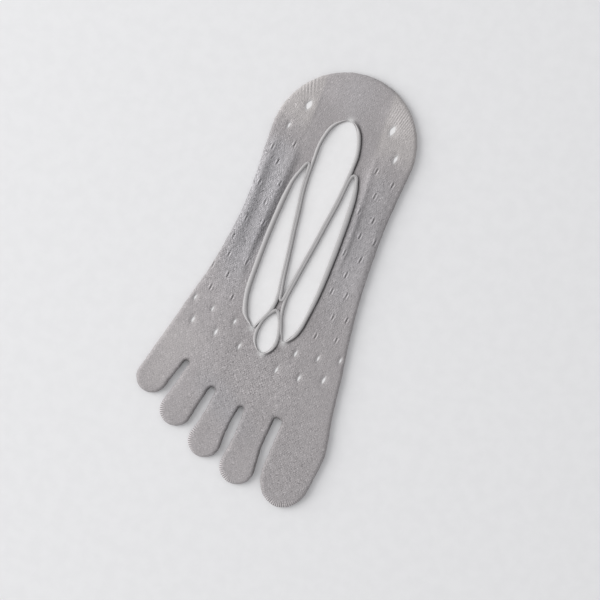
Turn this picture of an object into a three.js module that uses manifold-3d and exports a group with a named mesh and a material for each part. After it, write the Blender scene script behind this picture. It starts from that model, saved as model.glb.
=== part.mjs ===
// A five-toe sock for the right foot, stretched flat over a foot-shaped card.
// The sock is a knitted shell: a sole layer and an instep layer that meet round the card's edge, with five toe
// pockets. Four openings in the instep leave two narrow straps that touch above a small loop. The straps with
// their loop are a piece of their own. Each opening is edged with a rolled welt. The card fills the hollow and
// holds the sock flat.
// Millimetres, +Z up. -Y is the toe end, +Y the heel end, +X the big toe's side.
import * as THREE from "three";
import { mergeVertices } from "three/addons/utils/BufferGeometryUtils.js";
import Module from "manifold-3d";

const wasm = await Module();
wasm.setup();

// Driving sizes of the foot's outline
const FOOT_LENGTH = 220; // heel end to the tip of the big toe
const BALL_WIDTH = 103; // across the roots of the toes
const BALL_LATERAL = 0.575; // share of the ball's width that lies on the little toe's side of the heel's middle
const HEEL_WIDTH = 73.8;
const HEEL_CAP = 37.5; // length of the round heel end
const HEEL_LEAN = 1.4; // how far the heel end leans to the big toe's side
const TOE_GAP_WIDTH = 2.4; // at its round end, between two toes

// Cloth, card and fit
const SOLE_WALL = 1.0;
const INSTEP_WALL = 1.0;
const EDGE_WALL = 1.0; // cloth round the card's edge
const CARD_THICKNESS = 1.5;
const FIT_GAP = 0.3; // card to cloth, welt to cloth, and straps to the cloth that they grow out of
const CARD_EDGE_EASE = 0.5; // more room round the card's rim than over its faces
const SOCK_ROUNDING = 1.1; // of the sock's edge, above and below
const HOLLOW_ROUNDING = 0.7;
const CARD_ROUNDING = 0.25;

// Welts, straps and folds
const STRAP_WIDTH = 2.5;
const WELT_WIDTH = 2.4; // where a welt has cloth beside it, not another welt
const WELT_HEIGHT = 1.0;
const WELT_GAP = 0.3; // between the two welts on one strap
const FOLD_RISE = 0.8;

// Derived heights
const CARD_BASE = SOLE_WALL + FIT_GAP;
const CARD_TOP = CARD_BASE + CARD_THICKNESS;
const HOLLOW_TOP = CARD_TOP + FIT_GAP;
const INSTEP_TOP = HOLLOW_TOP + INSTEP_WALL;
const WELT_BASE = INSTEP_TOP + FIT_GAP;
const STRAP_WELT = (STRAP_WIDTH - WELT_GAP) / 2;
const LOOP_BAND = 1.2 * STRAP_WIDTH; // cloth round the small loop that belongs to the straps

// In every table, along is a share of the foot's length from the heel end, and across a share of the ball's
// width from the middle of the heel, positive to the big toe's side.

// The foot's two sides below the heel: shares of the way from the heel's half width (0) to the ball's (1).
const SIDES = [
  { along: 0.17, lateral: 0.0, medial: 0.0 },
  { along: 0.245, lateral: -0.01, medial: -0.22 },
  { along: 0.32, lateral: -0.03, medial: -0.38 },
  { along: 0.39, lateral: 0.0, medial: -0.39 },
  { along: 0.465, lateral: 0.1, medial: -0.34 },
  { along: 0.535, lateral: 0.23, medial: -0.18 },
  { along: 0.61, lateral: 0.43, medial: 0.1 },
  { along: 0.68, lateral: 0.61, medial: 0.42 },
  { along: 0.755, lateral: 0.82, medial: 0.68 },
  { along: 0.81, lateral: 0.97, medial: 0.985 },
];

// Where the cloth between two neighbouring toes ends, from the little toe's side to the big toe's.
const TOE_GAPS = [
  { along: 0.7535, across: -0.362 },
  { along: 0.7915, across: -0.2 },
  { along: 0.8115, across: -0.03 },
  { along: 0.808, across: 0.16 },
];

// Toe pockets: the middle of the root, the middle of the round tip, half widths as shares of the ball's width,
// and the tip's reach beyond its middle as a share of the foot's length. The outer toes say where the foot's
// sides end. The big toe also swells on its outer side, by a share of the ball's width.
const TOES = [
  { name: "little", rootAlong: 0.755, rootAcross: -0.451, tipAlong: 0.816, tipAcross: -0.49,
    root: 0.082, waist: 0.079, tip: 0.078, reach: 0.0365, sideEnds: 0.77 },
  { name: "fourth", rootAlong: 0.78, rootAcross: -0.276, tipAlong: 0.868, tipAcross: -0.325,
    root: 0.076, waist: 0.075, tip: 0.08, reach: 0.0375 },
  { name: "third", rootAlong: 0.81, rootAcross: -0.109, tipAlong: 0.913, tipAcross: -0.142,
    root: 0.071, waist: 0.068, tip: 0.081, reach: 0.038 },
  { name: "second", rootAlong: 0.82, rootAcross: 0.064, tipAlong: 0.943, tipAcross: 0.051,
    root: 0.078, waist: 0.073, tip: 0.087, reach: 0.041 },
  { name: "big", rootAlong: 0.81, rootAcross: 0.3042, tipAlong: 0.926, tipAcross: 0.295,
    root: 0.1204, waist: 0.1222, tip: 0.1248, reach: 0.0725, sideEnds: 0.81, swell: 0.0197 },
];

// Edges of the two openings between the straps. Each strap lies just outside its own edge.
const STRAP_EDGES = [
  { along: 0.12, lateral: -0.0876, medial: 0.0755 },
  { along: 0.155, lateral: -0.0922, medial: 0.076 },
  { along: 0.2, lateral: -0.0958, medial: 0.076 },
  { along: 0.25, lateral: -0.1007, medial: 0.0693 },
  { along: 0.3, lateral: -0.0957, medial: 0.0587 },
  { along: 0.35, lateral: -0.0807, medial: 0.0422 },
  { along: 0.4, lateral: -0.0652, medial: 0.0267 },
  { along: 0.45, lateral: -0.0497, medial: 0.0092 },
  { along: 0.5, lateral: -0.0357, medial: -0.0073 },
  { along: 0.545, lateral: -0.0227, medial: -0.0203 },
  { along: 0.57, lateral: -0.0272, medial: -0.018 },
  { along: 0.59, lateral: -0.0427, medial: -0.0093 },
  { along: 0.61, lateral: -0.065, medial: 0.0047 },
  { along: 0.635, lateral: -0.0777, medial: 0.0157 },
  { along: 0.66, lateral: -0.0797, medial: 0.0207 },
  { along: 0.69, lateral: -0.0757, medial: 0.0207 },
];

// Outer edges of the two side openings.
const INSTEP_EDGES = [
  { along: 0.22, lateral: -0.118, medial: 0.112 },
  { along: 0.27, lateral: -0.1507, medial: 0.1265 },
  { along: 0.33, lateral: -0.1648, medial: 0.1309 },
  { along: 0.41, lateral: -0.1755, medial: 0.1314 },
  { along: 0.5, lateral: -0.1783, medial: 0.126 },
  { along: 0.56, lateral: -0.1745, medial: 0.1153 },
  { along: 0.6, lateral: -0.153, medial: 0.1013 },
  { along: 0.64, lateral: -0.112, medial: 0.0673 },
];

// Where each opening starts and ends, the lengths of its two round ends, its welt's width as a share of the
// common one, and the end at which the welt thins out.
const OPENINGS = {
  centre: { from: 0.113, to: 0.547, heelCap: 0.09, toeCap: 0.012, welt: 1.0, thinsAt: 0.113 },
  lateral: { from: 0.238, to: 0.63, heelCap: 0.025, toeCap: 0.03, welt: 1.33, thinsAt: 0.63 },
  medial: { from: 0.23, to: 0.638, heelCap: 0.02, toeCap: 0.03, welt: 1.05, thinsAt: 0.638 },
  toe_end: { from: 0.58, to: 0.678, heelCap: 0.02, toeCap: 0.05, welt: 0.7, thinsAt: 0.678 },
};
const WELT_THINNING = 0.028; // length over which a welt thins out, as a share of the foot's length
const STRAPS_INSIDE = 0.01; // how far inside the two side openings' ends the straps end, as a share of the length

// Eyelets of the openwork that the card's edge pulls open: lengths and widths as shares of the largest one's.
const EYELET_LENGTH = 5.2;
const EYELET_WIDTH = 1.9;
const EYELETS = [
  { along: 0.109, across: -0.223, length: 0.95, width: 1.0 },
  { along: 0.168, across: -0.282, length: 0.75, width: 0.65 },
  { along: 0.1, across: 0.204, length: 1.0, width: 1.0 },
  { along: 0.159, across: 0.265, length: 0.9, width: 0.75 },
  { along: 0.611, across: -0.435, length: 0.6, width: 0.5 },
  { along: 0.623, across: -0.325, length: 0.65, width: 0.5 },
  { along: 0.633, across: -0.202, length: 0.6, width: 0.5 },
  { along: 0.661, across: -0.398, length: 0.7, width: 0.6 },
  { along: 0.67, across: -0.272, length: 0.8, width: 0.65 },
  { along: 0.682, across: -0.14, length: 0.7, width: 0.6 },
  { along: 0.635, across: 0.35, length: 0.65, width: 0.5 },
  { along: 0.648, across: 0.243, length: 0.65, width: 0.5 },
  { along: 0.655, across: 0.131, length: 0.65, width: 0.5 },
  { along: 0.705, across: 0.07, length: 0.75, width: 0.6 },
  { along: 0.705, across: 0.187, length: 0.8, width: 0.6 },
  { along: 0.69, across: 0.304, length: 0.8, width: 0.65 },
];

// Lengthwise puckers of the instep cloth: both ends, half width as a share of the ball's width, and height as a
// share of the highest one's.
const FOLDS = [
  { fromAlong: 0.21, fromAcross: -0.318, toAlong: 0.41, toAcross: -0.324, half: 0.016, rise: 1.0 },
  { fromAlong: 0.33, fromAcross: -0.248, toAlong: 0.52, toAcross: -0.262, half: 0.022, rise: 0.8 },
  { fromAlong: 0.2, fromAcross: 0.18, toAlong: 0.42, toAcross: 0.182, half: 0.014, rise: 0.7 },
  { fromAlong: 0.25, fromAcross: 0.275, toAlong: 0.44, toAcross: 0.285, half: 0.023, rise: 0.7 },
];

// Sampling
const HEEL_STEPS = 18;
const SIDE_STEPS = 12;
const TOE_STEPS = 5; // along each side of a toe
const GAP_STEPS = 4;
const TIP_STEPS = 10;
const EDGE_STEPS = 22;
const EYELET_STEPS = 8;
const FOLD_STEPS = 8;

const placeY = (along) => (0.5 - along) * FOOT_LENGTH;
const placeX = (across) => across * BALL_WIDTH;
const lerp = THREE.MathUtils.lerp;

// One column of a table, as a smooth curve through its rows.
function smooth(rows, column, along) {
  let k = 0;
  while (k < rows.length - 2 && rows[k + 1].along < along) k++;
  const slope = (i) => {
    const a = rows[Math.max(i - 1, 0)];
    const b = rows[Math.min(i + 1, rows.length - 1)];
    return (b[column] - a[column]) / (b.along - a.along);
  };
  const step = rows[k + 1].along - rows[k].along;
  const t = (along - rows[k].along) / step;
  const t2 = t * t;
  const t3 = t2 * t;
  return (
    (2 * t3 - 3 * t2 + 1) * rows[k][column] +
    (t3 - 2 * t2 + t) * step * slope(k) +
    (3 * t2 - 2 * t3) * rows[k + 1][column] +
    (t3 - t2) * step * slope(k + 1)
  );
}

// A closed loop of points, moved inwards by inset. The loop runs anticlockwise.
function insetLoop(loop, inset) {
  const normal = (a, b) => new THREE.Vector2(a.y - b.y, b.x - a.x).normalize();
  return loop.map((p, i) => {
    const before = loop[(i + loop.length - 1) % loop.length];
    const after = loop[(i + 1) % loop.length];
    const mitre = normal(before, p).add(normal(p, after));
    return p.clone().addScaledVector(mitre, (2 * inset) / mitre.lengthSq());
  });
}

// One toe's side or tip. s runs from the middle of its root (0) to the middle of its round tip (1).
function toePoint(toe, s, side) {
  const root = new THREE.Vector2(placeX(toe.rootAcross), placeY(toe.rootAlong));
  const axis = new THREE.Vector2(placeX(toe.tipAcross), placeY(toe.tipAlong)).sub(root);
  const across = new THREE.Vector2(-axis.y, axis.x).normalize();
  const widths = [
    { along: 0, half: toe.root },
    { along: 0.45, half: toe.waist },
    { along: 1, half: toe.tip },
  ];
  const swell = side > 0 && s > 0 ? (toe.swell ?? 0) * Math.sin(Math.PI * s) * Math.sqrt(1 - s) : 0;
  const half = (smooth(widths, "half", Math.max(s, 0)) + swell) * BALL_WIDTH;
  return root.addScaledVector(axis, s).addScaledVector(across, side * half);
}

// How far along its toe a side starts, when it starts at this share of the foot's length.
function toeStart(toe, along, side) {
  const atRoot = toePoint(toe, 0, side);
  return (placeY(along) - atRoot.y) / (placeY(toe.tipAlong) - placeY(toe.rootAlong));
}

function toeSide(toe, along, side) {
  const start = toeStart(toe, along, side);
  return Array.from({ length: TOE_STEPS }, (_, i) => toePoint(toe, lerp(start, 1, i / TOE_STEPS), side));
}

function toeTip(toe) {
  const from = toePoint(toe, 1, -1);
  const to = toePoint(toe, 1, 1);
  const middle = from.clone().add(to).multiplyScalar(0.5);
  const across = to.clone().sub(from).multiplyScalar(0.5);
  const ahead = new THREE.Vector2(across.y, -across.x).setLength(toe.reach * FOOT_LENGTH);
  return Array.from({ length: TIP_STEPS + 1 }, (_, i) => {
    const angle = (Math.PI * i) / TIP_STEPS;
    return middle.clone().addScaledVector(across, -Math.cos(angle)).addScaledVector(ahead, Math.sin(angle));
  });
}

// The round end of the gap between one toe and the next.
function gapEnd(toe, next, gap) {
  const start = gap.along + TOE_GAP_WIDTH / 2 / FOOT_LENGTH;
  const from = toePoint(toe, toeStart(toe, start, 1), 1);
  const to = toePoint(next, toeStart(next, start, -1), -1);
  const middle = from.clone().add(to).multiplyScalar(0.5);
  const across = to.clone().sub(from).multiplyScalar(0.5);
  const back = new THREE.Vector2(-across.y, across.x).setLength(TOE_GAP_WIDTH / 2);
  return Array.from({ length: GAP_STEPS - 1 }, (_, i) => {
    const angle = (Math.PI * (i + 1)) / GAP_STEPS;
    return middle.clone().addScaledVector(across, -Math.cos(angle)).addScaledVector(back, Math.sin(angle));
  });
}

// The whole foot with its toes, anticlockwise from the little toe's outer side.
function footOutline() {
  const rounding = TOE_GAP_WIDTH / 2 / FOOT_LENGTH;
  const toes = TOES.flatMap((toe, k) => {
    const isLast = k === TOES.length - 1;
    const before = k > 0 ? TOE_GAPS[k - 1].along + rounding : toe.sideEnds;
    const after = isLast ? toe.sideEnds : TOE_GAPS[k].along + rounding;
    const end = isLast ? [] : gapEnd(toe, TOES[k + 1], TOE_GAPS[k]);
    return [...toeSide(toe, before, -1), ...toeTip(toe), ...toeSide(toe, after, 1).reverse(), ...end];
  });
  const side = (column, direction, ball, end) => {
    return Array.from({ length: SIDE_STEPS }, (_, i) => {
      const along = lerp(end, SIDES[0].along, (i + 0.5) / SIDE_STEPS);
      const half = lerp(HEEL_WIDTH / 2, ball, smooth(SIDES, column, along));
      return new THREE.Vector2(direction * half, placeY(along));
    });
  };
  const medial = side("medial", 1, BALL_WIDTH * (1 - BALL_LATERAL), TOES[TOES.length - 1].sideEnds);
  const lateral = side("lateral", -1, BALL_WIDTH * BALL_LATERAL, TOES[0].sideEnds).reverse();
  const heelY = placeY(SIDES[0].along);
  const heel = Array.from({ length: HEEL_STEPS + 1 }, (_, i) => {
    const angle = (Math.PI * i) / HEEL_STEPS;
    const lean = HEEL_LEAN * Math.sin(angle);
    return new THREE.Vector2((HEEL_WIDTH / 2) * Math.cos(angle) + lean, heelY + HEEL_CAP * Math.sin(angle));
  });
  return [...toes, ...medial, ...heel, ...lateral];
}

// A solid whose outline at each level is loopAt(inset). Levels run upwards.
function levelledGeometry(loopAt, levels) {
  const loops = levels.map((level) => loopAt(level.inset));
  const count = loops[0].length;
  const positions = loops.flatMap((loop, k) => loop.flatMap((p) => [p.x, p.y, levels[k].z]));
  const faces = [];
  for (let k = 0; k < levels.length - 1; k++)
    for (let i = 0; i < count; i++) {
      const a = k * count + i;
      const b = k * count + ((i + 1) % count);
      faces.push(a, b, b + count, a, b + count, a + count);
    }
  const top = (levels.length - 1) * count;
  for (const [a, b, c] of THREE.ShapeUtils.triangulateShape(loops[0], [])) faces.push(c, b, a);
  for (const [a, b, c] of THREE.ShapeUtils.triangulateShape(loops[levels.length - 1], []))
    faces.push(top + a, top + b, top + c);
  const geometry = new THREE.BufferGeometry();
  geometry.setAttribute("position", new THREE.Float32BufferAttribute(positions, 3));
  geometry.setIndex(faces);
  return geometry;
}

// A geometry as a solid that can be cut and joined, and back.
function solidOf(geometry) {
  const bare = geometry.clone();
  bare.deleteAttribute("normal");
  bare.deleteAttribute("uv");
  const merged = mergeVertices(bare, 1e-4);
  return new wasm.Manifold(
    new wasm.Mesh({
      numProp: 3,
      vertProperties: new Float32Array(merged.attributes.position.array),
      triVerts: new Uint32Array(merged.index.array),
    }),
  );
}

function geometryOf(solid) {
  const mesh = solid.getMesh();
  const geometry = new THREE.BufferGeometry();
  geometry.setAttribute("position", new THREE.BufferAttribute(mesh.vertProperties, 3));
  geometry.setIndex(new THREE.BufferAttribute(mesh.triVerts, 1));
  geometry.computeVertexNormals();
  return geometry;
}

const levelled = (loopAt, levels) => solidOf(levelledGeometry(loopAt, levels));

// The levels between which the instep layer is cut through.
const cutLevels = [
  { z: CARD_BASE + CARD_THICKNESS / 2, inset: 0 },
  { z: INSTEP_TOP + 2 * FOLD_RISE, inset: 0 },
];

// A slab of the whole foot's shape, its edges rounded above and below.
function footSlab(base, top, inset, rounding) {
  const curve = [
    { height: 0, inset: 1 },
    { height: 0.4, inset: 0.25 },
    { height: 1, inset: 0 },
  ];
  const lower = curve.map((c) => ({ z: base + c.height * rounding, inset: inset + c.inset * rounding }));
  const upper = curve.map((c) => ({ z: top - c.height * rounding, inset: inset + c.inset * rounding }));
  const outline = footOutline();
  return levelled((d) => insetLoop(outline, d), [...lower, ...upper.reverse()]);
}

// An opening's outline, anticlockwise: both sides follow their own edges and close in a round end.
function openingLoop(opening, edges) {
  const { from, to, heelCap, toeCap } = opening;
  const stations = Array.from({ length: EDGE_STEPS + 1 }, (_, i) => {
    return lerp(from, to, (1 - Math.cos((Math.PI * i) / EDGE_STEPS)) / 2);
  });
  const round = (distance, cap) => {
    const t = Math.min(distance / cap, 1);
    return Math.sqrt(Math.max(1 - (1 - t) * (1 - t), 0));
  };
  const at = (along, side) => {
    const [lateral, medial] = edges(along);
    const half = ((medial - lateral) / 2) * round(along - from, heelCap) * round(to - along, toeCap);
    return new THREE.Vector2((lateral + medial) / 2 + side * half, placeY(along));
  };
  const inner = stations.slice(1, -1);
  return [
    ...stations.map((along) => at(along, -1)),
    ...inner.map((along) => at(along, 1)).reverse(),
  ];
}

const strapEdge = (column, along) => placeX(smooth(STRAP_EDGES, column, along));
const outerEdge = (column, along) => placeX(smooth(INSTEP_EDGES, column, along));
const betweenStraps = (along) => [strapEdge("lateral", along), strapEdge("medial", along)];
const besideStraps = {
  lateral: (along) => [outerEdge("lateral", along), strapEdge("lateral", along) - STRAP_WIDTH],
  medial: (along) => [strapEdge("medial", along) + STRAP_WIDTH, outerEdge("medial", along)],
};
const openingLoops = {
  centre: openingLoop(OPENINGS.centre, betweenStraps),
  lateral: openingLoop(OPENINGS.lateral, besideStraps.lateral),
  medial: openingLoop(OPENINGS.medial, besideStraps.medial),
  toe_end: openingLoop(OPENINGS.toe_end, betweenStraps),
};

// What belongs to the straps: all between the middles of the two side openings, and a band round the small loop.
function strapsSpace(gap) {
  const middles = (name) => {
    const { from, to } = OPENINGS[name];
    return Array.from({ length: EDGE_STEPS + 1 }, (_, i) => {
      const along = lerp(from + STRAPS_INSIDE, to - STRAPS_INSIDE, i / EDGE_STEPS);
      const [lateral, medial] = besideStraps[name](along);
      return new THREE.Vector2((lateral + medial) / 2, placeY(along));
    });
  };
  const between = [...middles("lateral"), ...middles("medial").reverse()];
  const band = levelled(() => insetLoop(openingLoops.toe_end, gap - LOOP_BAND), cutLevels);
  return levelled(() => insetLoop(between, gap), cutLevels).add(band);
}

// The distance from a point to a closed loop.
function distanceTo(point, loop) {
  const nearest = new THREE.Vector3();
  const from = new THREE.Vector3(point.x, point.y, 0);
  return Math.min(
    ...loop.map((p, i) => {
      const q = loop[(i + 1) % loop.length];
      const edge = new THREE.Line3(new THREE.Vector3(p.x, p.y, 0), new THREE.Vector3(q.x, q.y, 0));
      return edge.closestPointToPoint(from, true, nearest).distanceTo(from);
    }),
  );
}

// How wide a welt is at each point of its opening. On a strap it leaves room for the strap's other welt, and at
// its thin end it is as narrow as there.
function weltWidths(name) {
  const others = Object.keys(openingLoops).filter((other) => other !== name);
  return openingLoops[name].map((p) => {
    const room = Math.min(...others.map((other) => distanceTo(p, openingLoops[other])));
    const share = THREE.MathUtils.smoothstep(room, 1.2 * STRAP_WIDTH, 3.2 * STRAP_WIDTH);
    const fromEnd = Math.abs(p.y - placeY(OPENINGS[name].thinsAt)) / FOOT_LENGTH;
    const thinned = THREE.MathUtils.smoothstep(fromEnd, 0, WELT_THINNING);
    return lerp(STRAP_WELT, WELT_WIDTH * OPENINGS[name].welt, Math.min(share, thinned));
  });
}

// A rolled welt: a half-round ring along its opening's outline, flat underneath.
function weltGeometry(name) {
  const loop = openingLoops[name];
  const widths = weltWidths(name);
  const profileSteps = 5;
  const positions = [];
  loop.forEach((p, i) => {
    const a = loop[(i + loop.length - 1) % loop.length];
    const b = loop[(i + 1) % loop.length];
    const along = b.clone().sub(a).normalize();
    for (let j = 0; j <= profileSteps; j++) {
      const angle = (Math.PI * j) / profileSteps;
      const out = (widths[i] * (1 - Math.cos(angle))) / 2;
      positions.push(p.x + along.y * out, p.y - along.x * out, WELT_BASE + WELT_HEIGHT * Math.sin(angle));
    }
  });
  const ring = profileSteps + 1;
  const faces = [];
  for (let i = 0; i < loop.length; i++)
    for (let j = 0; j < ring; j++) {
      const next = (i + 1) % loop.length;
      const a = i * ring + j;
      const b = i * ring + ((j + 1) % ring);
      const c = next * ring + ((j + 1) % ring);
      const d = next * ring + j;
      faces.push(a, b, c, a, c, d);
    }
  const geometry = new THREE.BufferGeometry();
  geometry.setAttribute("position", new THREE.Float32BufferAttribute(positions, 3));
  geometry.setIndex(faces);
  return geometry;
}

// An eyelet: a pointed lens along the foot's length, cut through the instep layer only.
function eyeletLoop(eyelet) {
  const x = placeX(eyelet.across);
  const y = placeY(eyelet.along);
  return Array.from({ length: EYELET_STEPS }, (_, i) => {
    const angle = (2 * Math.PI * i) / EYELET_STEPS;
    return new THREE.Vector2(
      x + (eyelet.width * EYELET_WIDTH * Math.cos(angle)) / 2,
      y + (eyelet.length * EYELET_LENGTH * Math.sin(angle)) / 2,
    );
  });
}

// A fold's outline: a lens between its two ends.
function foldLoop(fold, inset) {
  const from = new THREE.Vector2(placeX(fold.fromAcross), placeY(fold.fromAlong));
  const to = new THREE.Vector2(placeX(fold.toAcross), placeY(fold.toAlong));
  const middle = from.clone().add(to).multiplyScalar(0.5);
  const axis = to.clone().sub(from);
  const reach = axis.length() / 2;
  axis.normalize();
  const across = new THREE.Vector2(-axis.y, axis.x);
  const half = fold.half * BALL_WIDTH;
  const left = 1 - inset / half;
  return Array.from({ length: 2 * FOLD_STEPS }, (_, i) => {
    const angle = (Math.PI * i) / FOLD_STEPS;
    return middle
      .clone()
      .addScaledVector(axis, reach * left * Math.cos(angle))
      .addScaledVector(across, half * left * Math.sin(angle));
  });
}

function foldSolid(fold) {
  const half = fold.half * BALL_WIDTH;
  const rise = fold.rise * FOLD_RISE;
  return levelled(
    (inset) => foldLoop(fold, inset),
    [
      { z: INSTEP_TOP - INSTEP_WALL / 2, inset: 0 },
      { z: INSTEP_TOP, inset: 0 },
      { z: INSTEP_TOP + 0.6 * rise, inset: 0.3 * half },
      { z: INSTEP_TOP + 0.93 * rise, inset: 0.6 * half },
      { z: INSTEP_TOP + rise, inset: 0.85 * half },
    ],
  );
}

// The sock: its folds are raised first, then the hollow, the openings and the eyelets are cut, and at last the
// straps are parted from the rest.
const outside = footSlab(0, INSTEP_TOP, 0, SOCK_ROUNDING);
const raised = FOLDS.reduce((cloth, fold) => cloth.add(foldSolid(fold)), outside);
const hollowed = raised.subtract(footSlab(SOLE_WALL, HOLLOW_TOP, EDGE_WALL, HOLLOW_ROUNDING));
const holes = [...Object.values(openingLoops), ...EYELETS.map(eyeletLoop)];
const sock = holes.reduce((cloth, loop) => cloth.subtract(levelled(() => loop, cutLevels)), hollowed);
const body = sock.subtract(strapsSpace(0));
const straps = sock.intersect(strapsSpace(FIT_GAP));

const card = footSlab(CARD_BASE, CARD_TOP, EDGE_WALL + FIT_GAP + CARD_EDGE_EASE, CARD_ROUNDING);

const knit = new THREE.MeshStandardMaterial({ name: "light grey knit", color: 0xa4a1a2, roughness: 0.95 });
const board = new THREE.MeshStandardMaterial({ name: "white card", color: 0xe6e6e6, roughness: 0.7 });

const group = new THREE.Group();
const add = (name, geometry, material) => {
  const mesh = new THREE.Mesh(geometry, material);
  mesh.name = name;
  group.add(mesh);
};
add("sock_body", geometryOf(body), knit);
add("instep_straps", geometryOf(straps), knit);
for (const name of Object.keys(OPENINGS)) add(`${name}_opening_welt`, weltGeometry(name), knit);
add("form_card", geometryOf(card), board);

// The origin is under the middle of the sock's own bounds, on the ground.
const bounds = new THREE.Box3().setFromObject(group);
const middle = bounds.getCenter(new THREE.Vector3());
for (const mesh of group.children) mesh.geometry.translate(-middle.x, -middle.y, -bounds.min.z);

export default group;
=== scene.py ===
"""A light grey toe sock, stretched over a white foot-shaped card, seen from straight above."""
import math

import bpy
import numpy as np
from mathutils.geometry import delaunay_2d_cdt
from mathutils.kdtree import KDTree
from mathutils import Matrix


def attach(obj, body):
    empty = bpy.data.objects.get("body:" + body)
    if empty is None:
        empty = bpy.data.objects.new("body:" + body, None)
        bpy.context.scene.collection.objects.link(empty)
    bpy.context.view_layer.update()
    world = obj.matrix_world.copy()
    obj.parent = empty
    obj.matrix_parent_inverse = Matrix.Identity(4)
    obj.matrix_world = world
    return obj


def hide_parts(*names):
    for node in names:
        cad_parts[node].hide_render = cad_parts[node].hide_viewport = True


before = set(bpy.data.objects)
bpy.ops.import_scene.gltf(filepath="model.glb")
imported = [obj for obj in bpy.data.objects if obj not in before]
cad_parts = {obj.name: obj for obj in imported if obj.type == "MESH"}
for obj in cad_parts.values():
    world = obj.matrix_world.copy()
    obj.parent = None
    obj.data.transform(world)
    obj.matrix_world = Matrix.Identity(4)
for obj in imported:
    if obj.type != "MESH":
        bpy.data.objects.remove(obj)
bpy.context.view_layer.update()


# The table and the room. The sock lies on a smooth matt white sheet, with its heel end turned a little to the
# camera's right. A broad window on the left lights it, and white walls fill the shadows.
TURN = math.radians(20)  # the sock's length against the picture's upright
PICTURE_MIDDLE = (0.0131, -0.0080)
PICTURE_WIDTH = 0.3015  # at the height of the sock's instep
INSTEP_HEIGHT = 0.004
LENS, SENSOR = 90, 36
WINDOW_DISTANCE, WINDOW_SIZE, WINDOW_POWER = 2.6, 2.4, 58
WALLS, WALL_STRENGTH = (0.975, 0.977, 0.995, 1), 0.62

camera = bpy.data.objects.new("camera", bpy.data.cameras.new("camera"))
camera.data.lens, camera.data.sensor_width = LENS, SENSOR
camera.location = (*PICTURE_MIDDLE, INSTEP_HEIGHT + PICTURE_WIDTH * LENS / SENSOR)
camera.rotation_euler = (0, 0, TURN)
bpy.context.collection.objects.link(camera)
bpy.context.scene.camera = camera


def picture_direction(right, up, height):
    """A direction given as the picture shows it, in the sock's own frame."""
    return np.array([
        right * math.cos(TURN) - up * math.sin(TURN),
        right * math.sin(TURN) + up * math.cos(TURN),
        height,
    ])


window = bpy.data.lights.new("window", "AREA")
window.shape, window.size, window.energy = "DISK", WINDOW_SIZE, WINDOW_POWER
lamp = bpy.data.objects.new("window", window)
towards_window = picture_direction(-1.0, 0.3, 0.6)
stand = towards_window / np.linalg.norm(towards_window) * WINDOW_DISTANCE
lamp.location = (stand[0] + PICTURE_MIDDLE[0], stand[1] + PICTURE_MIDDLE[1], stand[2])
lamp.rotation_euler = (-lamp.location).to_track_quat("-Z", "Y").to_euler()
bpy.context.collection.objects.link(lamp)

world = bpy.data.worlds.new("white walls")
bpy.context.scene.world = world
world.use_nodes = True
walls = world.node_tree.nodes["Background"]
walls.inputs["Color"].default_value = WALLS
walls.inputs["Strength"].default_value = WALL_STRENGTH
bpy.context.scene.view_settings.view_transform = "Standard"
bpy.context.scene.view_settings.look = "None"


class Field:
    """What varies over a surface: one output of the material that is being made. Sums on it add its nodes."""

    tree = None

    def __init__(self, socket):
        self.socket = socket

    @classmethod
    def of(cls, kind, settings=None, values=None, output=0):
        """A new node's output, with plain values or what other fields give in its inputs."""
        node = cls.tree.nodes.new("ShaderNode" + kind)
        for name, value in (settings or {}).items():
            setattr(node, name, value)
        for name, value in (values or {}).items():
            if isinstance(value, Field):
                cls.tree.links.new(value.socket, node.inputs[name])
            else:
                node.inputs[name].default_value = value
        return cls(node.outputs[output])

    @classmethod
    def layer(cls, name):
        """The three numbers that a mesh's points carry under one name."""
        vector = cls.of("Attribute", {"attribute_name": name}, output=1)
        return [cls.of("SeparateXYZ", {}, {"Vector": vector}, output=k) for k in range(3)]

    def noise(self, scale, detail, roughness=0.5):
        """Noise over the place that this gives."""
        values = {"Vector": self, "Scale": scale, "Detail": detail, "Roughness": roughness}
        return Field.of("TexNoise", {}, values)

    def math(self, operation, *others):
        return Field.of("Math", {"operation": operation}, dict(enumerate((self, *others))))

    def __add__(self, other):
        return self.math("ADD", other)

    def __sub__(self, other):
        return self.math("SUBTRACT", other)

    def __rsub__(self, other):
        return Field.of("Math", {"operation": "SUBTRACT"}, {0: other, 1: self})

    def __mul__(self, other):
        return self.math("MULTIPLY", other)

    def __truediv__(self, other):
        return self.math("DIVIDE", other)

    def __rtruediv__(self, other):
        return Field.of("Math", {"operation": "DIVIDE"}, {0: other, 1: self})

    def __neg__(self):
        return self * -1.0

    __radd__ = __add__
    __rmul__ = __mul__

    def sin(self):
        return self.math("SINE")

    def abs(self):
        return self.math("ABSOLUTE")

    def fract(self):
        return self.math("FRACT")

    def floor(self):
        return self.math("FLOOR")

    def step(self, low, high):
        """0 below low, 1 above high, and smooth between them."""
        shape = {"interpolation_type": "SMOOTHSTEP", "clamp": True}
        return Field.of("MapRange", shape, {"Value": self, "From Min": low, "From Max": high})

    def blend(self, first, second):
        """The first colour where this is 0, and the second where it is 1."""
        colours = [c if isinstance(c, Field) else (*c, 1) for c in (first, second)]
        sockets = {0: self, 6: colours[0], 7: colours[1]}
        return Field.of("Mix", {"data_type": "RGBA"}, sockets, output=2)

    def tinted(self, colour):
        """A colour, as bright as this is."""
        grey = Field.of("CombineXYZ", {}, {0: self, 1: self, 2: self})
        return Field.of("VectorMath", {"operation": "MULTIPLY"}, {0: colour, 1: grey})


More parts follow.
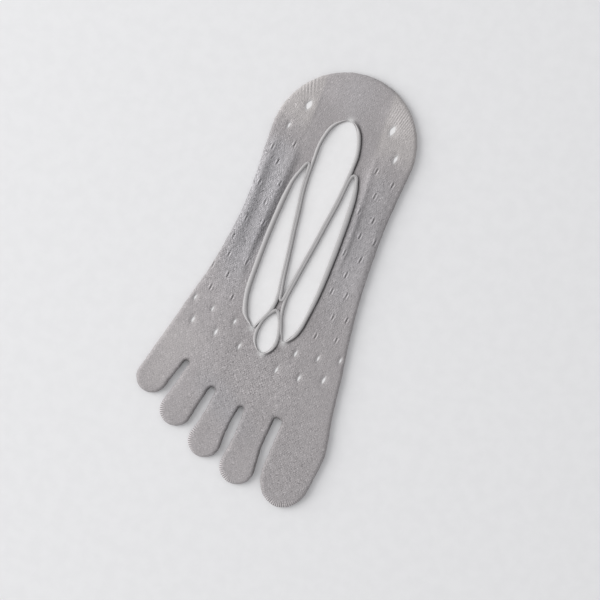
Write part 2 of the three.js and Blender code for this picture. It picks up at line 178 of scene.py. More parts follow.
def finish(name, roughness, **fixed):
    """A new material, and its shader with the values that are the same all over."""
    material = bpy.data.materials.new(name)
    material.use_nodes = True
    Field.tree = material.node_tree
    shader = material.node_tree.nodes["Principled BSDF"]
    shader.inputs["Roughness"].default_value = roughness
    for socket, value in fixed.items():
        shader.inputs[socket.replace("_", " ")].default_value = value
    return material, shader


def feed(shader, socket, field):
    Field.tree.links.new(field.socket, shader.inputs[socket])


def raised(shader, height, strength, distance):
    """Fine relief on a surface, which the light shows."""
    values = {"Height": height, "Strength": strength, "Distance": distance}
    feed(shader, "Normal", Field.of("Bump", {}, values))


TABLE_DARK, TABLE_LIGHT = (0.79, 0.79, 0.795), (0.81, 0.81, 0.815)
REACH = 3.0  # half the table's width

floor_mesh = bpy.data.meshes.new("floor")
floor_mesh.from_pydata(
    [(-REACH, -REACH, 0), (REACH, -REACH, 0), (REACH, REACH, 0), (-REACH, REACH, 0)], [], [(0, 1, 2, 3)]
)
floor = bpy.data.objects.new("floor", floor_mesh)
bpy.context.collection.objects.link(floor)
sheet_white, shader = finish("white table", 0.75)
paper = Field.of("TexNoise", {}, {"Scale": 900.0, "Detail": 3.0})
feed(shader, "Base Color", paper.step(0.3, 0.7).blend(TABLE_DARK, TABLE_LIGHT))
floor_mesh.materials.append(sheet_white)


# The form card. A smooth white board, cut to the foot's shape, that holds the sock flat. It fills the sock
# and shows through the openings and the eyelets, so its own solid stays and gets a faintly fibrous finish.
CARD_DARK, CARD_LIGHT = (0.81, 0.805, 0.805), (0.845, 0.84, 0.84)
FIBRE_RELIEF, FIBRE_HEIGHT = 0.15, 0.0001

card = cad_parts["form_card"]
white_board, shader = finish("white form card", 0.6)
place = Field.of("TexCoord", output=3)
fibre, mottle = place.noise(260, 5, 0.6), place.noise(60, 2)
feed(shader, "Base Color", (fibre * 0.6 + mottle * 0.4).step(0.3, 0.7).blend(CARD_DARK, CARD_LIGHT))
raised(shader, fibre, FIBRE_RELIEF, FIBRE_HEIGHT)
for piece_slot in card.material_slots:
    piece_slot.material = white_board


# The sock. One seamless tube of fine knit: a sole and an instep that meet round the card's rim, five toe
# pockets, and two narrow straps. It is knitted with openwork eyelets, which the card's rim pulls open at the
# heel's corners and across the ball. The rest stay closed, as small puckers in rows.
MM = 1000  # millimetres in a metre: sizes are in metres, and tables of marks in millimetres
SOLE, INSTEP, MIDDLE = 0.0, 0.0035, 0.0018  # underside, top, and the height of the widest line
CLOTH, THINNEST_CLOTH = 0.00065, 0.00012
CARD_TOP, CARD_ROOM = 0.00282, 0.00015
EDGE_ROUND = 0.0019
RIM_HEIGHT = 0.0011  # where the body's solid has its full outline
RIM_SPACING, OPENING_SPACING, WELT_SPACING = 0.0008, 0.0007, 0.0005
RAGGED, RAGGED_WAVES = 0.00014, (61, 97, 143, 211)  # how far stitches stand out of the rim, and how often
SNAP, LEVEL_SLACK = 1e-5, 1.5e-5  # corners of a solid this close together are one, or lie at one height


def loops_at(node, height):
    """The closed outlines that a solid's edges draw at one height, longest first."""
    points = np.empty(3 * len(node.data.vertices))
    node.data.vertices.foreach_get("co", points)
    points = points.reshape(-1, 3)
    level = np.abs(points[:, 2] - height) < LEVEL_SLACK
    key = [tuple(k) for k in np.round(points[:, :2] / SNAP).astype(int)]
    beside = {}
    for edge in node.data.edges:
        a, b = edge.vertices
        if level[a] and level[b] and key[a] != key[b]:
            beside.setdefault(key[a], set()).add(key[b])
            beside.setdefault(key[b], set()).add(key[a])
    loops = []
    while beside:
        start = here = next(iter(beside))
        loop, last = [], None
        while True:
            loop.append(here)
            onward = [k for k in beside[here] if k != last]
            last, here = here, onward[0]
            if here == start:
                break
        for k in loop:
            del beside[k]
        loop = np.array(loop) * SNAP
        area = np.sum(loop[:, 0] * np.roll(loop[:, 1], -1) - np.roll(loop[:, 0], -1) * loop[:, 1])
        loops.append(loop if area > 0 else loop[::-1])
    return sorted(loops, key=lambda loop: -np.ptp(loop[:, 1]))


CURVE_STEPS = 12  # from one of a loop's points to the next


def rounded(loop, spacing):
    """A closed loop drawn smoothly through its points, with even spacing."""
    before, after, beyond = (np.roll(loop, -k, 0) for k in (-1, 1, 2))
    t = np.linspace(0, 1, CURVE_STEPS, endpoint=False)[None, :, None]
    p0, p1, p2, p3 = (p[:, None] for p in (before, loop, after, beyond))
    curve = 2 * p1 + (p2 - p0) * t + (2 * p0 - 5 * p1 + 4 * p2 - p3) * t**2
    curve = (curve + (3 * p1 - p0 - 3 * p2 + p3) * t**3) / 2
    curve = curve.reshape(-1, loop.shape[1])
    closed = np.vstack([curve, curve[:1]])
    length = np.concatenate([[0], np.cumsum(np.linalg.norm(np.diff(closed[:, :2], axis=0), axis=1))])
    count = max(int(round(length[-1] / spacing)), 8)
    at = np.linspace(0, length[-1], count, endpoint=False)
    return np.column_stack([np.interp(at, length, closed[:, k]) for k in range(loop.shape[1])])


def outward(loop):
    along = np.roll(loop, -1, 0) - np.roll(loop, 1, 0)
    along /= np.linalg.norm(along, axis=1)[:, None]
    return np.column_stack([along[:, 1], -along[:, 0]])


def nearest(points, loop):
    """Which of a loop's points is nearest to each point."""
    tree = KDTree(len(loop))
    for k, (x, y) in enumerate(loop):
        tree.insert((x, y, 0), k)
    tree.balance()
    return np.array([tree.find((x, y, 0))[1] for x, y in points], dtype=int)


def depth_in(points, loop):
    """How far inside a loop each point lies, in metres. Outside it the depth is negative."""
    near = nearest(points, loop)
    best, side = np.full(len(points), np.inf), np.zeros(len(points))
    for a, b in ((loop[near - 1], loop[near]), (loop[near], loop[(near + 1) % len(loop)])):
        ab, ap = b - a, points - a
        length = np.linalg.norm(ab, axis=1)
        along = np.clip((ap * ab).sum(1) / length**2, 0, 1)
        distance = np.linalg.norm(ap - along[:, None] * ab, axis=1)
        across = (ab[:, 0] * ap[:, 1] - ab[:, 1] * ap[:, 0]) / length
        nearer = (distance < best - 1e-9) | ((distance < best + 1e-9) & (abs(across) > abs(side)))
        best, side = np.where(nearer, distance, best), np.where(nearer, across, side)
    return best * np.where(side < 0, -1, 1)


def outside(points, loop, room=0.0):
    """Which points lie outside a loop by at least this much."""
    low, high = loop.min(0) - room, loop.max(0) + room
    close = ((points > low) & (points < high)).all(1)
    clear = ~close
    if close.any():
        clear[close] = depth_in(points[close], loop) < -room
    return clear


def grid_points(low, high, spacing):
    """A honeycomb of points over a box."""
    rows = np.arange(low[1], high[1], spacing * 0.866)  # the height of an even triangle
    found = []
    for k, y in enumerate(rows):
        xs = np.arange(low[0] + (k % 2) * spacing / 2, high[0], spacing)
        found.append(np.column_stack([xs, np.full(len(xs), y)]))
    return np.vstack(found)


RIM_ROOM, HOLE_ROOM = 0.00008, 0.00015  # the net has no loose points closer than this to its edges


def skin(outline, holes, points):
    """A flat net of triangles inside an outline and outside its holes, through the given points."""
    keep = depth_in(points, outline) > RIM_ROOM
    for hole in holes:
        keep &= outside(points, hole, HOLE_ROOM)
    loops = [outline, *holes]
    flat = np.vstack([*loops, points[keep]])
    edges, start = [], 0
    for loop in loops:
        edges += [(start + i, start + (i + 1) % len(loop)) for i in range(len(loop))]
        start += len(loop)
    verts, _, faces, *_ = delaunay_2d_cdt([tuple(p) for p in (flat * MM).tolist()], edges, [], 0, 1e-5)
    verts, faces = np.array([v[:] for v in verts]) / MM, np.array(faces)
    middles = verts[faces].mean(1)
    good = depth_in(middles, outline) > 0
    for hole in holes:
        good &= outside(middles, hole)
    return verts, faces[good]


def paired(first, second):
    """The second loop, turned so that its points lie beside the first one's."""
    turns = [np.roll(second, -k, 0) for k in range(len(second))]
    return min(turns, key=lambda turned: np.linalg.norm(turned - first, axis=1).sum())


# A welt's solid is a half round made of flat faces, and its two outlines are read where it has a corner.
WELT_BASE, WELT_RISE, CORNER = 0.0044, 0.001, math.radians(36)
NARROW_WELT, WIDER = 0.0008, 0.0004  # half width of the welts on the straps, and how much wider a wide one is
TIGHTER = 0.00065  # how far the wide welts that face left keep clear of their solids' inner outline
SPARED = 0.0001  # what a slimmed welt always keeps over the narrow one's width

# How far the wide welts that face right keep clear of their outer outline, and how that fades away from the
# toes. The left strap lies further left than its solid: its middle and its shift at places along the foot.
SLIMMER = {"centre": (0.001, math.inf), "medial": (0.0021, 0.0173)}
STRAP_MIDDLE = [(-26, 0.5), (-16, 2.4), (4, 1.3), (14, 0.1), (24, -1.3), (34, -2.5)]
STRAP_SHIFT = [(-30, 0), (-18, 0.7), (0, 0.75), (14, 0.5), (26, 0.35), (34, 0)]
STRAP_REACH = 2.6


def with_moved_strap(loop):
    across, along = loop.T * MM
    middle, shift = (np.interp(along, *zip(*table)) for table in (STRAP_MIDDLE, STRAP_SHIFT))
    shift = shift * np.exp(-(((across - middle) / STRAP_REACH) ** 2))
    return np.column_stack([loop[:, 0] - shift / MM, loop[:, 1]])


# Each opening's edge, and the middle line and half width of the welt that is rolled along it.
opening_edges, welt_paths = {}, {}
for name in ("centre", "lateral", "medial", "toe_end"):
    corner_height = WELT_BASE + WELT_RISE * math.sin(CORNER)
    far, near = loops_at(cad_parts[f"{name}_opening_welt"], corner_height)
    far = with_moved_strap(paired(near, far))
    near = with_moved_strap(near)
    half = np.linalg.norm(far - near, axis=1) / 2 / math.cos(CORNER)
    spill = (far - near) / 2 * (1 / math.cos(CORNER) - 1)
    facing = outward(near)
    tighter = TIGHTER * np.clip(-facing[:, 0], 0, 1) * np.clip((half - NARROW_WELT) / WIDER, 0, 1)
    most, fade = SLIMMER.get(name, (0.0, math.inf))
    slimmer = most * np.exp((near[:, 1].min() - near[:, 1]) / fade) * np.clip(facing[:, 0] * 2, 0, 1)
    slimmer = np.minimum(slimmer, np.clip((half - NARROW_WELT) * 2 - SPARED, 0, None))
    opening_edges[name] = rounded(near - spill + facing * tighter[:, None], OPENING_SPACING)
    middle = (near + far) / 2 + facing * (tighter - slimmer)[:, None] / 2
    welt_paths[name] = rounded(np.column_stack([middle, half - (tighter + slimmer) / 2]), WELT_SPACING)


def thin_end(name, path):
    """Which point of a welt is its thinnest: the heel's end of the centre opening, else the toes' end."""
    return np.argmax(path[:, 1]) if name == "centre" else np.argmin(path[:, 1])


opening_ends = np.array([path[thin_end(name, path), :2] for name, path in welt_paths.items()])

outline = rounded(loops_at(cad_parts["sock_body"], RIM_HEIGHT)[0], RIM_SPACING)
wander = np.linspace(0, 2 * np.pi, len(outline), endpoint=False)
ragged = sum(np.sin(wander * turns + turns) for turns in RAGGED_WAVES) / len(RAGGED_WAVES)
outline = outline + outward(outline) * (ragged * RAGGED)[:, None]
lining_edge = outline - outward(outline) * CLOTH
rim_faces = outward(outline)

# Open eyelets: middle, length and width. Closed ones: middle of each pucker. All in millimetres.
EYELETS = [
    (-16.3, 85.8, 5.6, 2.7), (-22.3, 72.8, 3.8, 1.1), (27.7, 87.8, 5.8, 2.6), (34.0, 74.8, 4.8, 1.6),
    (-37.0, -24.6, 3.2, 1.0), (-26.8, -27.2, 3.2, 1.0), (-14.1, -29.4, 3.2, 1.1), (-34.3, -35.6, 3.6, 1.2),
    (-21.3, -37.6, 3.8, 1.3), (-7.7, -40.2, 3.6, 1.1), (42.6, -29.8, 3.2, 1.0), (31.7, -32.6, 3.2, 1.0),
    (20.2, -34.2, 3.6, 1.1), (13.9, -45.2, 3.8, 1.1), (26.0, -45.2, 3.8, 1.2), (38.0, -42.0, 4.2, 1.3),
]
PUCKERS = [
    (-16.1, 64.8), (-26.1, 59.8), (-21.2, 53.5), (-16.3, 43.4), (-26.2, 41.0), (-20.3, 32.3), (-17.4, 22.0),
    (-26.3, 21.6), (-29.3, 11.0), (-18.4, 0.9), (-28.3, 1.8), (-34.3, -6.2), (-25.3, -8.2), (-31.3, -17.0),
    (-19.3, -18.2), (27.2, 66.0), (37.2, 61.8), (30.7, 53.8), (26.0, 43.8), (34.2, 42.0), (30.5, 32.4),
    (38.6, 31.8), (26.1, 22.0), (34.9, 21.4), (30.7, 11.6), (26.7, 1.9), (34.3, 1.8), (31.7, -10.6),
    (38.7, -9.6), (26.7, -22.4), (37.2, -20.8), (20.7, -9.4),
]
PUCKER_WIDTH, PUCKER_LENGTH, SLIT_SPACING = 0.7, 2.4, 1.75
LEAN = 0.14  # of every eyelet and pucker, across for each step along
LENS_POINTS, POINTED = 11, 0.3
marks = np.array([(x, y) for x, y, *_ in EYELETS] + PUCKERS)
mark_sizes = np.array(
    [(width, length) for *_, length, width in EYELETS] + [(PUCKER_WIDTH, PUCKER_LENGTH)] * len(PUCKERS)
)


def lens_loop(x, y, length, width):
    """A pointed hole along the foot, in metres."""
    t = np.linspace(-1, 1, LENS_POINTS)
    side, along = (1 - t**2) * (1 - POINTED * abs(t)) * width / 2, t * length / 2
    loop = np.vstack([np.column_stack([side, along]), np.column_stack([-side, along])[-2:0:-1]])
    return (loop + (x, y) + loop[:, 1:] * (LEAN, 0)) / MM


eyelet_loops = [lens_loop(*eyelet) for eyelet in EYELETS]

# Lengthwise creases that the card's waist leaves in the cloth: both ends, half widths to the left and to the
# right, and rise, in millimetres. The knit's colour is darkened in some valleys as painted shade: both ends,
# half width and share.
CREASES = [
    (-25.7, 68, -28.5, 4, 1.6, 2.6, 1.05), (-14.6, 66, -19.4, -6, 3.2, 1.1, 1.1),
    (25.6, 74, 26.2, 10, 1.5, 0.9, 0.85), (37.5, 62, 37.9, 0, 4.0, 1.3, 0.6),
    (-10.3, 94, -13.1, 66, 0.7, 0.7, -0.2), (23.9, 98, 24.5, 72, 0.7, 0.7, -0.2),
    (-12.7, -36, -14.7, -58, 2.0, 2.0, 0.15), (32.3, -2, 32.8, -24, 1.8, 1.8, 0.2),
]
PAINTED_VALLEY_SHADE = [
    (-24.3, 60, -25.3, 14, 1.5, 0.2), (-11.4, 62, -17.9, 4, 1.4, 0.5), (27.3, 68, 27.9, 14, 0.9, 0.16),
    (-18.1, 6, -17.9, -12, 1.2, 0.12), (19.5, 66, 20.1, 56, 0.9, 0.2),
]


def ridge(x, y, x0, y0, x1, y1, left, right):
    """How near points lie to a slightly wandering line: 1 on it, and 0 well beside it or past its ends."""
    length = math.hypot(x1 - x0, y1 - y0)
    t = ((x - x0) * (x1 - x0) + (y - y0) * (y1 - y0)) / length**2
    off = ((x - x0) * (y0 - y1) + (y - y0) * (x1 - x0)) / length + 0.4 * np.sin(t * 6 + x0)
    return np.exp(-((off / np.where(off < 0, left, right)) ** 2)) * np.sqrt(np.sin(np.pi * np.clip(t, 0, 1)))


def creased(x, y):
    """How far the creases lift the cloth, in millimetres."""
    return sum(rise * ridge(x, y, *line) for *line, rise in CREASES)


def painted_valley_shade(x, y):
    """The share by which painted shade darkens the knit's colour along the crease valleys."""
    return sum(share * ridge(x, y, *ends, half, half) for *ends, half, share in PAINTED_VALLEY_SHADE)


def nearest_mark(x, y):
    """Where each point lies, seen from the eyelet or pucker nearest to it, and which one that is."""
    dx, dy = x[:, None] - marks[:, 0], y[:, None] - marks[:, 1]
    k = np.argmin(dx**2 + dy**2, axis=1)
    rows = np.arange(len(x))
    return dx[rows, k], dy[rows, k], k


# The wales run along the foot. They fan out round the heel's end and lean with the toes.
HEEL_X, HEEL_FROM, HEEL_FAN = 7.3, 82, 0.0145
TOES_FROM, TOE_LEAN = -60, [(-46, 0.40), (-28, 0.28), (-8, 0.15), (11, 0.05), (34, 0.05)]
LEFT_SIDE = [(-60, -50), (-20, -38.5), (20, -30), (60, -29.5), (100, -30)]
RIGHT_SIDE = [(-60, 49.5), (-20, 45), (20, 42), (60, 43.5), (100, 43)]
WALES_ACROSS, COURSE, COURSE_BOW = 72, 0.85, 9
TOE_RIB, HEEL_RIB_LEFT, HEEL_RIB_RIGHT = 1.15, 1.5, 1.05


def wale_lines(x, y):
    """The knit's own coordinates: wales across, courses along, and the ribs of stretched knit."""
    lean = np.interp(x, *zip(*TOE_LEAN)) * np.clip(TOES_FROM - y, 0, None)
    fan = 1 + HEEL_FAN * np.clip(y - HEEL_FROM, 0, None)
    x0 = HEEL_X + (x + lean - HEEL_X) / fan
    left, right = (np.interp(np.maximum(y, TOES_FROM), *zip(*side)) for side in (LEFT_SIDE, RIGHT_SIDE))
    across = (x0 - (left + right) / 2) / (right - left)
    heel_ribs = (x0 - HEEL_X) / np.where(x0 < HEEL_X, HEEL_RIB_LEFT, HEEL_RIB_RIGHT)
    ribs = np.where(y < 0, x0 / TOE_RIB, heel_ribs)
    return across * WALES_ACROSS, y / COURSE + COURSE_BOW * across**2 * np.sign(y), ribs


FAR_OFF, WELT_ROOM = 0.02, 0.006


def beyond_welts(points):
    """How far outside the nearest welt each point lies, in metres, and how much that welt faces sideways."""
    gap, sideways = np.full(len(points), FAR_OFF), np.zeros(len(points))
    for path in welt_paths.values():
        line, half = path[:, :2], path[:, 2]
        low, high = line.min(0) - WELT_ROOM, line.max(0) + WELT_ROOM
        close = np.flatnonzero(((points > low) & (points < high)).all(1))
        near = nearest(points[close], line)
        facing = outward(line)
        away = ((points[close] - line[near]) * facing[near]).sum(1)
        apart = np.linalg.norm(points[close] - line[near], axis=1)
        here = np.where(away > 0, apart, -apart) - half[near]
        nearer = here < gap[close]
        gap[close[nearer]] = here[nearer]
        sideways[close[nearer]] = facing[near[nearer], 0]
    return gap, sideways


# Points that the net goes through: close together at the rim, beside the welts and round the eyelets and
# puckers, and a honeycomb of the coarser spacing elsewhere.
RIM_STEPS = (0.00012, 0.00028, 0.0005, 0.0008, 0.0012, 0.0017)
WELT_STEPS = (-0.0006, -0.00025, 0.00005, 0.0003, 0.0006, 0.001, 0.0015)
STEP_SLACK = 0.0001  # a point beside a welt may be this much nearer to another one
INSTEP_NET, MARK_NET, SOLE_NET = 0.00085, 0.00036, 0.0024
PAST_RIM_STEPS, SOLE_PAST_RIM_STEPS = 0.0021, 0.003
PAST_WELT_STEPS, UNDER_WELT_STEPS = 0.0019, -0.0009
MARK_REACH = (2.1, 3.3)  # across and along

rims = np.vstack([outline - rim_faces * d for d in RIM_STEPS])
rims = rims[depth_in(rims, outline) > 0.9 * np.repeat(RIM_STEPS, len(outline))]
beside_welts, welt_gaps = [], []
for path in welt_paths.values():
    line, half = path[:, :2], path[:, 2:]
    for step in WELT_STEPS:
        beside_welts.append((line + outward(line) * (half + step))[::2])
        welt_gaps += [step] * len(beside_welts[-1])
beside_welts = np.vstack(beside_welts)
low, high = outline.min(0), outline.max(0)


def close_to_mark(points):
    dx, dy, _ = nearest_mark(points[:, 0] * MM, points[:, 1] * MM)
    return (dx / MARK_REACH[0]) ** 2 + (dy / MARK_REACH[1]) ** 2 < 1


honeycomb = grid_points(low, high, INSTEP_NET)
honeycomb = honeycomb[~close_to_mark(honeycomb) & (depth_in(honeycomb, outline) > PAST_RIM_STEPS)]
gap, _ = beyond_welts(honeycomb)
honeycomb = honeycomb[(gap > PAST_WELT_STEPS) | (gap < UNDER_WELT_STEPS)]
round_marks = grid_points(low, high, MARK_NET)
round_marks = round_marks[close_to_mark(round_marks)]
round_marks = round_marks[depth_in(round_marks, outline) > PAST_RIM_STEPS]
gap, _ = beyond_welts(beside_welts)
beside_welts = beside_welts[(abs(gap - welt_gaps) < STEP_SLACK) & ~close_to_mark(beside_welts)]
holes = [*opening_edges.values(), *eyelet_loops]
instep, instep_faces = skin(outline, holes, np.vstack([rims, honeycomb, round_marks, beside_welts]))
sparse = grid_points(low, high, SOLE_NET)
inner_sole = sparse[depth_in(sparse, outline) > SOLE_PAST_RIM_STEPS]
sole, sole_faces = skin(outline, [], np.vstack([rims, inner_sole]))
lining, lining_faces = skin(lining_edge, holes, sparse)
insole, insole_faces = skin(lining_edge, [], sparse)


def rim_profile(points, edge, rounding, flat):
    """The cloth's height, rounded towards its widest line, and 0 at the rim to 1 past the rounding."""
    d = np.clip(depth_in(points, edge) / rounding, 0, 1)
    return MIDDLE + (flat - MIDDLE) * np.sqrt(np.clip(1 - (1 - d) ** 2, 0, 1)), d


# How deep the instep sinks round an open eyelet, at a pucker's slits and along the groove outside a welt, and
# how it waves, all in millimetres.
EYELET_DEPTH, EYELET_SIDE, EYELET_END = 0.85, 0.75, 0.7
SLIT_DEPTH = 0.3
GROOVE_DEPTH, GROOVE_PLACE, GROOVE_HALF = 0.55, 0.1, 0.5
UNDER_WELT = 2.2  # creases flatten out this near to a welt
WAVES = (0.05, 0.04)


def instep_height(points):
    z, inner = rim_profile(points, outline, EDGE_ROUND, INSTEP)
    x, y = points[:, 0] * MM, points[:, 1] * MM
    gap, sideways = beyond_welts(points)
    gap = gap * MM
    dx, dy, mark = nearest_mark(x, y)
    width, length = mark_sizes[mark].T
    pulled = np.exp(-((dx / (width / 2 + EYELET_SIDE)) ** 2) - (dy / (length / 2 + EYELET_END)) ** 2)
    slits = np.cos(2 * np.pi * (dx - LEAN * dy) / SLIT_SPACING)
    sunk = pulled * np.where(mark < len(EYELETS), EYELET_DEPTH, SLIT_DEPTH * slits)
    waves = WAVES[0] * np.sin(x / 3.1 + 0.8 * np.sin(y / 9)) + WAVES[1] * np.sin(x / 5.3 - y / 13)
    groove = np.exp(-(((gap - GROOVE_PLACE) / GROOVE_HALF) ** 2)) * np.clip(sideways * 1.6 - 0.3, 0, 1)
    lift = (creased(x, y) * np.clip(gap / UNDER_WELT, 0, 1) + waves - sunk) * inner
    z = z + (lift - GROOVE_DEPTH * groove) / MM
    return np.where(inner > 0.9, np.maximum(z, CARD_TOP + CARD_ROOM), z)


def lining_height(points):
    z, inner = rim_profile(points, lining_edge, EDGE_ROUND - CLOTH, INSTEP - CLOTH)
    z = np.minimum(z, instep_height(points) - THINNEST_CLOTH)
    return np.maximum(z, np.where(inner > 0.5, CARD_TOP, 0))


instep_z, lining_z = instep_height(instep), lining_height(lining)
sole_z = rim_profile(sole, outline, EDGE_ROUND, SOLE)[0]
insole_z = rim_profile(insole, lining_edge, EDGE_ROUND - CLOTH, SOLE + CLOTH)[0]
rim = len(outline)
verts, faces, starts = [], [], []
for upper, lower, inside in (
    ((instep, instep_z, instep_faces), (sole, sole_z, sole_faces), False),
    ((lining, lining_z, lining_faces), (insole, insole_z, insole_faces), True),
):
    # The lower net of each pair has the upper one's rim, so the two are one closed bag.
    start = sum(len(v) for v in verts)
    (top, top_z, top_net), (bottom, bottom_z, bottom_net) = upper, lower
    verts += [np.column_stack([top, top_z]), np.column_stack([bottom, bottom_z])[rim:]]
    bottom_net = np.where(bottom_net < rim, bottom_net, bottom_net - rim + len(top))
    net = np.vstack([top_net, bottom_net[:, ::-1]]) + start
    faces += (net[:, ::-1] if inside else net).tolist()
    starts.append(start)
verts = np.vstack(verts)
start = len(outline)
for hole in holes:
    ring = np.arange(start, start + len(hole))
    for i, j in zip(ring, np.roll(ring, -1)):
        faces.append((i, j, starts[1] + j, starts[1] + i))
    start += len(hole)

x, y = verts[:, 0] * MM, verts[:, 1] * MM
wales, courses, ribs = wale_lines(x, y)


def blob(x0, y0, rx, ry, turn=0.0):
    """A soft patch: 1 in its middle and 0 well outside it."""
    c, s = math.cos(math.radians(turn)), math.sin(math.radians(turn))
    a, b = (x - x0) * c + (y - y0) * s, (y - y0) * c - (x - x0) * s
    return np.exp(-((a / rx) ** 2 + (b / ry) ** 2) ** 1.5)


# Soft patches of the knit: middle, half sizes and what each adds. The card stretches it most over the heel's
# corners and the toes' tips, where its ribs show. Some are paler, some darker, and slack knit looks coarser.
STRETCHED = [
    (-18.8, 95.0, 4.0, 6.6, -20), (30.6, 94.3, 9.4, 6.2, -42), (-15.9, -92.5, 3.5, 7.0, -10),
    (5.5, -103.5, 7.5, 5.0, -40), (37.5, -108.0, 10.5, 4.5, 8), (-33.5, -84.3, 3.5, 5.0, -10),
]
PALER = [
    (-36, -50, 20, 24, 0.13), (-30, 0, 14, 40, 0.09), (-24, 50, 12, 24, 0.08), (3, 100, 13, 14, 0.11),
    (10, -92, 12, 18, 0.07), (-10, -88, 12, 16, 0.06), (-28, -78, 10, 14, 0.06), (32, 0, 12, 24, 0.05),
    (-25, 86, 10, 12, 0.05), (32, 52, 12, 20, -0.04), (25, 61, 6, 14, 0.16), (-8, 97, 5, 8, 0.13),
    (-20, 83, 7, 9, 0.05), (26, 93, 8, 8, 0.11), (-25.5, 13, 5, 14, -0.12), (9, -82, 6, 8, -0.10),
    (9, -54, 22, 12, 0.06), (28, -14, 8, 9, -0.07), (-29, -18, 8, 8, 0.08),
]
COARSE = [
    (5, -50, 28, 30, 0.38), (38, -88, 14, 22, 0.28), (-24, 30, 16, 50, 0.66), (32, 30, 14, 52, 0.36),
]
FINE_KNIT = 0.35

points = np.column_stack([x, y]) / MM
stretch = np.clip(sum(blob(*patch) for patch in STRETCHED), 0, 1)
paleness = 1 + sum(share * blob(*patch) for *patch, share in PALER)
coarseness = FINE_KNIT + sum(share * blob(*patch) for *patch, share in COARSE)

# The tone runs from cool (-1) at the waist to warm (1) over the heel's corners and by the little toe.
WARM_LEFT, WARM_RIGHT, WARM_EDGE, WARM_FROM, WARM_OVER = -12.2, 22.8, 0.7, 62, 18
WARM = [(-45, -70, 9, 9, 0.3), (-37, -50, 15, 18, 0.4)]
COOL = [(-23, 30, 13, 44, 1.0), (31, 30, 13, 44, 0.6), (5, 98, 13, 14, 0.35)]
COOL_BETWEEN_TOES, COOL_SHARE = (-6, -70, 24, 9, -32), 0.55
heel_sides = 1 / (1 + np.exp((x - WARM_LEFT) / WARM_EDGE)) + 1 / (1 + np.exp((WARM_RIGHT - x) / WARM_EDGE))
tone = heel_sides * np.clip((y - WARM_FROM) / WARM_OVER, 0, 1)
tone += sum(share * blob(*patch) for *patch, share in WARM)
tone -= np.clip(sum(share * blob(*patch) for *patch, share in COOL), 0, 1)
tone -= COOL_SHARE * blob(*COOL_BETWEEN_TOES)

# The cloth is thin, and the card shines through, at the eyelets' edges and where each opening ends.
THIN_EDGE_SIDE, THIN_EDGE_END, THIN_AT_EYELET = 0.16, 0.2, 0.7
THIN_END_REACH, THIN_AT_END = 1.7, 0.8
dx, dy, mark = nearest_mark(x, y)
width, length = mark_sizes[mark].T
across, along = (dx - LEAN * dy) / (width / 2 + THIN_EDGE_SIDE), dy / (length / 2 + THIN_EDGE_END)
thin = np.exp(-((across**2 + along**2) ** 2)) * (mark < len(EYELETS)) * THIN_AT_EYELET
from_end = np.linalg.norm(points[:, None] - opening_ends, axis=2).min(1) * MM
thin = np.maximum(thin, THIN_AT_END * np.exp(-((from_end / THIN_END_REACH) ** 2)))

# The groove outside the welts that face right lies in their shade.
GROOVE_SHADE, SHADE_MIDDLE, SHADE_INNER, SHADE_OUTER = 0.66, 0.35, 0.42, 0.66
gap, sideways = beyond_welts(points)
past_middle = gap * MM - SHADE_MIDDLE
in_groove = np.exp(-((past_middle / np.where(past_middle < 0, SHADE_INNER, SHADE_OUTER)) ** 2))
in_groove *= GROOVE_SHADE * np.clip(sideways * 1.6 - 0.2, 0, 1) * np.clip(from_end / 2, 0, 1)

# Along the rim: the flanks that face away from the window get little light, least between two toes and at the
# inner end of each gap. At the toes' tips the ribs run outwards all round.
TOE_GAP, TOES_BELOW, TIPS_BELOW = 0.006, -0.05, -70
FLANK_SHADE, TOE_FLANK_SHADE, GAP_END_SHADE, FLANK_REACH = 0.12, 0.4, 0.6, 1.1
TIP_STRETCH, TIP_REACH = 3.0, 2.2
nearest_rim = nearest(points, outline)
rim_depth = np.abs(depth_in(points, outline)) * MM
past = points - outline[nearest_rim]
tangent = np.column_stack([-rim_faces[:, 1], rim_faces[:, 0]])[nearest_rim]
round_rim = (nearest_rim * RIM_SPACING + (past * tangent).sum(1)) * MM
bend = np.cross(rim_faces, np.roll(rim_faces, -3, 0)) / (3 * RIM_SPACING * MM)
away = np.clip(rim_faces @ picture_direction(1, 0, 0)[:2], 0, 1)
between_toes = (depth_in(outline + rim_faces * TOE_GAP, outline) > 0) * (outline[:, 1] < TOES_BELOW)
flank = away * (FLANK_SHADE + TOE_FLANK_SHADE * between_toes) + GAP_END_SHADE * np.clip(-bend * 2.5, 0, 1)
flank = np.convolve(np.concatenate([flank[-3:], flank, flank[:3]]), np.ones(7) / 7, "valid")
in_flank = flank[nearest_rim] * np.exp(-((rim_depth / FLANK_REACH) ** 2))
# Painted shade: the knit's colour is darkened in the crease valleys, in the grooves beside the welts that
# face right, and on the rim's flanks that face away from the window.
painted_shade = 1 - (1 - painted_valley_shade(x, y)) * (1 - in_groove) * (1 - in_flank)
at_tips = y < TIPS_BELOW
ribs = np.where(at_tips, round_rim / TOE_RIB, ribs)
stretch *= np.where(at_tips, TIP_STRETCH * np.exp(-((rim_depth / TIP_REACH) ** 2)), 1)

mesh = bpy.data.meshes.new("knit_sock")
mesh.from_pydata(verts.tolist(), [], faces)
KNIT_LAYERS = {  # what the knit's material reads at each point
    "knit": (wales, courses, stretch),
    "marks": (dx, dy, coarseness),
    "tone": (tone, painted_shade, thin),
    "shade": (ribs, paleness, np.where(mark < len(EYELETS), 0, 1)),
}
for name, columns in KNIT_LAYERS.items():
    layer = mesh.attributes.new(name, "FLOAT_VECTOR", "POINT")
    layer.data.foreach_set("vector", np.column_stack(columns).astype(np.float32).ravel())
mesh.polygons.foreach_set("use_smooth", np.ones(len(faces), bool))
sock = bpy.data.objects.new("knit_sock", mesh)
bpy.context.collection.objects.link(sock)

